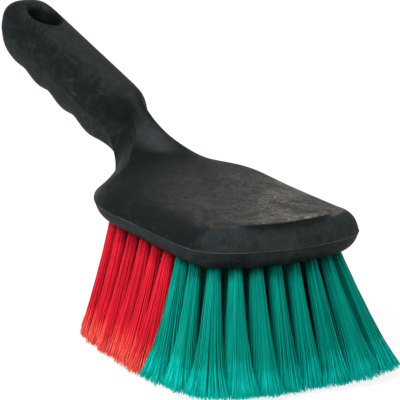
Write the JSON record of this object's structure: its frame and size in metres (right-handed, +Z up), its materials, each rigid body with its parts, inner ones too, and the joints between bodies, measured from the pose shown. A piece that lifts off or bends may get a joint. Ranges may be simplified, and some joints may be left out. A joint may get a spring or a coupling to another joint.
{
  "type": "washing brush",
  "caption": "Short-handled washing brush with a wide oblong head, long outward-leaning red and green bristles and a grip with finger waves and a hang hole.",
  "frame": {"origin": "tip of the bristle in the middle of the head, in the plane in which the brush stands", "axes": "+X from the grip towards the front of the head, +Z up from the bristles to the block, +Y to the left"},
  "size_m": [0.283, 0.1252, 0.138],
  "materials": {
    "block": "satin moulded black plastic with a fine cloudy bloom",
    "red_bristles": "satin synthetic filament, split ends",
    "green_bristles": "satin synthetic filament, split ends"
  },
  "bodies": {
    "root": {"handle_block": "block", "edge_tuft_01_green": "green_bristles", "edge_tuft_02_green": "green_bristles", "edge_tuft_03_green": "green_bristles", "edge_tuft_04_green": "green_bristles", "edge_tuft_05_green": "green_bristles", "edge_tuft_06_green": "green_bristles", "edge_tuft_07_red": "red_bristles", "edge_tuft_08_red": "red_bristles", "edge_tuft_09_red": "red_bristles", "edge_tuft_10_red": "red_bristles", "edge_tuft_11_red": "red_bristles", "edge_tuft_12_red": "red_bristles", "edge_tuft_13_red": "red_bristles", "edge_tuft_14_red": "red_bristles", "edge_tuft_15_red": "red_bristles", "edge_tuft_16_red": "red_bristles", "edge_tuft_17_red": "red_bristles", "edge_tuft_18_red": "red_bristles", "edge_tuft_19_red": "red_bristles", "edge_tuft_20_red": "red_bristles", "edge_tuft_21_red": "red_bristles", "edge_tuft_22_red": "red_bristles", "edge_tuft_23_red": "red_bristles", "edge_tuft_24_red": "red_bristles", "edge_tuft_25_red": "red_bristles", "edge_tuft_26_red": "red_bristles", "edge_tuft_27_green": "green_bristles", "edge_tuft_28_green": "green_bristles", "edge_tuft_29_green": "green_bristles", "edge_tuft_30_green": "green_bristles", "edge_tuft_31_green": "green_bristles", "edge_tuft_32_green": "green_bristles", "tuft_row_01_green": "green_bristles", "tuft_row_02_green": "green_bristles", "tuft_row_03_green": "green_bristles", "tuft_row_04_red": "red_bristles", "tuft_row_05_red": "red_bristles", "tuft_row_06_red": "red_bristles", "tuft_row_07_red": "red_bristles", "tuft_row_08_red": "red_bristles", "tuft_row_09_red": "red_bristles", "tuft_row_10_red": "red_bristles"}
  },
  "joints": []
}
